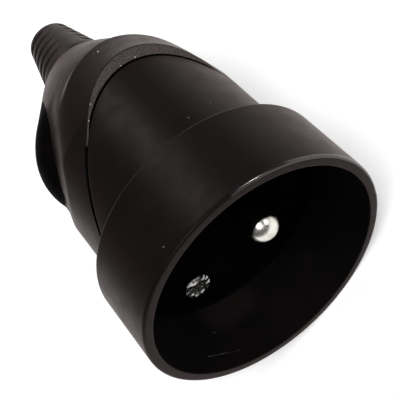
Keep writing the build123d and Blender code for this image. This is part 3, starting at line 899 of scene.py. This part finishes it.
def ribbed_boot():
    """Cable boot: a tapered sleeve with ribs, a groove round its base and a flange inside the cover."""
    skin = Skin(BOOT_COLUMNS)
    skin.add(BOOT_NECK_R, TAIL_Y)
    skin.add(BOOT_BASE_R - NECK_D, TAIL_Y)
    skin.add(BOOT_BASE_R - NECK_D, TAIL_Y + NECK_W)
    for t in NECK_STEPS:
        lift = NECK_D * math.sin(t * math.pi / 2)
        y = TAIL_Y + NECK_W + NECK_ROUND * (1 - math.cos(t * math.pi / 2))
        skin.add(boot_radius(y) - NECK_D + lift, y)
    for index in reversed(range(GROOVE_COUNT)):
        add_groove(skin, GROOVE_LAST_Y - GROOVE_PITCH * index)
    end = rounded([(BOOT_END_R + BOOT_SLOPE[0], BOOT_END - BOOT_SLOPE[1], 0),
                   (BOOT_END_R, BOOT_END, BOOT_END_ROUND),
                   (CABLE_R, BOOT_END, CABLE_HOLE_ROUND),
                   (CABLE_R, FLANGE_FRONT, 0)])
    flange = [(BOOT_FLANGE_R, FLANGE_FRONT), (BOOT_FLANGE_R, FLANGE_BACK), (BOOT_NECK_R, FLANGE_BACK)]
    for r, y in end[1:] + flange:
        skin.add(r, y)
    mesh = skin.mesh("ribbed_boot", closed=True)
    place("ribbed_boot", mesh, "cable_boot", [rubber], sharp_from=50)


def turned_pin():
    """Earth pin: a round tip, a shank in the housing, a flange and a post with the wire hole."""
    turns = np.linspace(0, math.pi / 2, PIN_TIP_STEPS)
    profile = [(PIN_R * math.sin(turn), PIN_TIP_Y + PIN_R * (1 - math.cos(turn))) for turn in turns]
    profile += [(PIN_R, WELL_DEPTH), (PIN_SHANK_R, WELL_DEPTH), (PIN_SHANK_R, TUBE_END),
                (PIN_FLANGE_R, TUBE_END), (PIN_FLANGE_R, PIN_FLANGE_BACK), (PIN_POST_R, PIN_FLANGE_BACK),
                (PIN_POST_R, PIN_END), (WIRE_HOLE_R, PIN_END), (WIRE_HOLE_R, WIRE_HOLE_FLOOR),
                (0, WIRE_HOLE_FLOOR)]
    skin = Skin(PIN_COLUMNS)
    for r, y in profile:
        # Behind PIN_BRIGHT the pin takes the nickel darkened as painted shade
        skin.add(r, y, PIN_NICKEL if y < PIN_BRIGHT else PIN_SHADE_NICKEL)
    place("turned_pin", skin.mesh("turned_pin", z=EARTH_Z), "earth_pin", PIN_SHADERS)


def cross_cutters():
    """Two bars and a hub that narrow with depth, for the cross recess."""
    cutters = []
    for wide, tall in ((CROSS_W, CROSS_L), (CROSS_L, CROSS_W), (CROSS_HUB, CROSS_HUB)):
        cutter = box_mesh("cross_cutter", (wide, 2 * CROSS_DEPTH, tall), (0, WELL_DEPTH, 0))
        for corner in cutter.vertices:
            narrowing = 1 - CROSS_TAPER * (corner.co.y / MM - WELL_DEPTH) / CROSS_DEPTH
            corner.co.x *= narrowing
            corner.co.z *= narrowing
        cutter.transform(Matrix.Translation((SCREW_X * MM, 0, SCREW_Z * MM)))
        cutters.append(cutter)
    return cutters


def cross_screw():
    """Assembly screw: a low round-edged head with a cross recess, on a plain shank."""
    profile = rounded([(0, WELL_DEPTH, 0),
                       (SCREW_HEAD_R, WELL_DEPTH, SCREW_HEAD_ROUND),
                       (SCREW_HEAD_R, SCREW_SEAT_Y, 0)])
    profile += [(SCREW_R, SCREW_SEAT_Y), (SCREW_R, SCREW_END), (0, SCREW_END)]
    mesh = cut(lathe("cross_screw", profile, SCREW_X, SCREW_Z, PIN_COLUMNS), cross_cutters())
    place("cross_screw", mesh, "assembly_screw", [steel])


# Hidden parts by material
HIDDEN_NODES = [
    (brass, ("line_contact", "neutral_contact", "assembly_insert")),
    (steel, ("line_contact_spring", "neutral_contact_spring", "line_terminal_screw", "neutral_terminal_screw",
             "earth_terminal_screw", "retainer_screws", "cable_clamp_screws")),
    (grey, ("contact_retainer", "cable_clamp_bar"))]


def hidden_parts():
    """Parts inside keep their solids and get the materials of the scene."""
    for shader, nodes in HIDDEN_NODES:
        for node in nodes:
            solid = bpy.data.objects[node]
            if not solid.material_slots:
                solid.data.materials.append(None)
            for slot in solid.material_slots:
                slot.link = "OBJECT"
                slot.material = shader.material


# Floor, with the strength of the glow that tops its paper up to white
FLOOR_SIDE = 20000
FLOOR_THICKNESS = 2
FLOOR_MID_Y = 30
PAPER_SCALE = 0.02
PAPER_DARK = (0.86, 0.86, 0.86)
PAPER_LIGHT = (0.89, 0.89, 0.89)
PAPER_TOP_UP = 0.36


def white_floor():
    """White paper, topped up to plain white where it is seen or mirrored, with the shadow kept."""
    mesh = box_mesh("studio_floor", (FLOOR_SIDE, FLOOR_SIDE, FLOOR_THICKNESS),
                    (0, FLOOR_MID_Y, -COLLAR_R - FLOOR_THICKNESS / 2))
    studio_floor = bpy.data.objects.new("studio_floor", mesh)
    scene.collection.objects.link(studio_floor)
    paper = Shader("floor_paper")
    paper.set("Base Color", paper.blend(paper.noise(PAPER_SCALE), PAPER_DARK, PAPER_LIGHT))
    paper.set("Roughness", 0.9)
    paper.set("Specular IOR Level", 0.1)
    paper.set("Emission Color", (1.0, 1.0, 1.0))
    path = paper.node("LightPath")
    seen = paper.maths("MAXIMUM", path.outputs["Is Camera Ray"], path.outputs["Is Glossy Ray"])
    seen = paper.maths("MAXIMUM", seen, path.outputs["Is Transmission Ray"])
    paper.set("Emission Strength", paper.maths("MULTIPLY", seen, PAPER_TOP_UP))
    mesh.materials.append(paper.material)


# Light: the room's strength, then each lamp's name, direction in the plug's own axes, spread and strength
ROOM_LIGHT = 0.10
LAMPS = [("key", (-0.30, 0.69, 0.66), 22.0, 0.85),
         ("fill", (-0.68, -0.35, 0.645), 30.0, 1.7),
         ("edge", (0.228, -0.452, 0.847), 6.0, 1.2)]


def studio_light():
    """A dim room, a soft key from behind, a broad fill from the front and a lamp for the rim."""
    world = bpy.data.worlds.new("studio")
    scene.world = world
    world.use_nodes = True
    background = world.node_tree.nodes["Background"]
    background.inputs["Color"].default_value = (1.0, 1.0, 1.0, 1.0)
    background.inputs["Strength"].default_value = ROOM_LIGHT
    for name, towards, spread, strength in LAMPS:
        lamp = bpy.data.lights.new(name, "SUN")
        lamp.angle = math.radians(spread)
        lamp.energy = strength
        holder = bpy.data.objects.new(name, lamp)
        scene.collection.objects.link(holder)
        holder.rotation_euler = (LIE @ Vector(towards)).to_track_quat("Z", "Y").to_euler()


# Camera: place and directions in the plug's own axes, and the nearest distance seen in metres
CAMERA_PLACE = (-49.143, -67.871, 101.53)
CAMERA_RIGHT = (0.84022, -0.53945, -0.05491)
CAMERA_UP = (0.41695, 0.57801, 0.70147)
SENSOR_WIDTH = 36.0
FOCAL_LENGTH = 77.787
NEAREST_SEEN = 0.005


def photo_camera():
    """Camera where the photo was taken from."""
    lens = bpy.data.cameras.new("camera")
    lens.sensor_width = SENSOR_WIDTH
    lens.lens = FOCAL_LENGTH
    lens.clip_start = NEAREST_SEEN
    eye = bpy.data.objects.new("camera", lens)
    scene.collection.objects.link(eye)
    right, up = Vector(CAMERA_RIGHT), Vector(CAMERA_UP)
    turn = Matrix((right, up, right.cross(up))).transposed().to_4x4()
    eye.matrix_world = LIE @ Matrix.Translation([part * MM for part in CAMERA_PLACE]) @ turn
    scene.camera = eye
    scene.view_settings.view_transform = "Standard"


front_shell()
rear_shell()
ribbed_boot()
turned_pin()
cross_screw()
hidden_parts()
white_floor()
studio_light()
photo_camera()
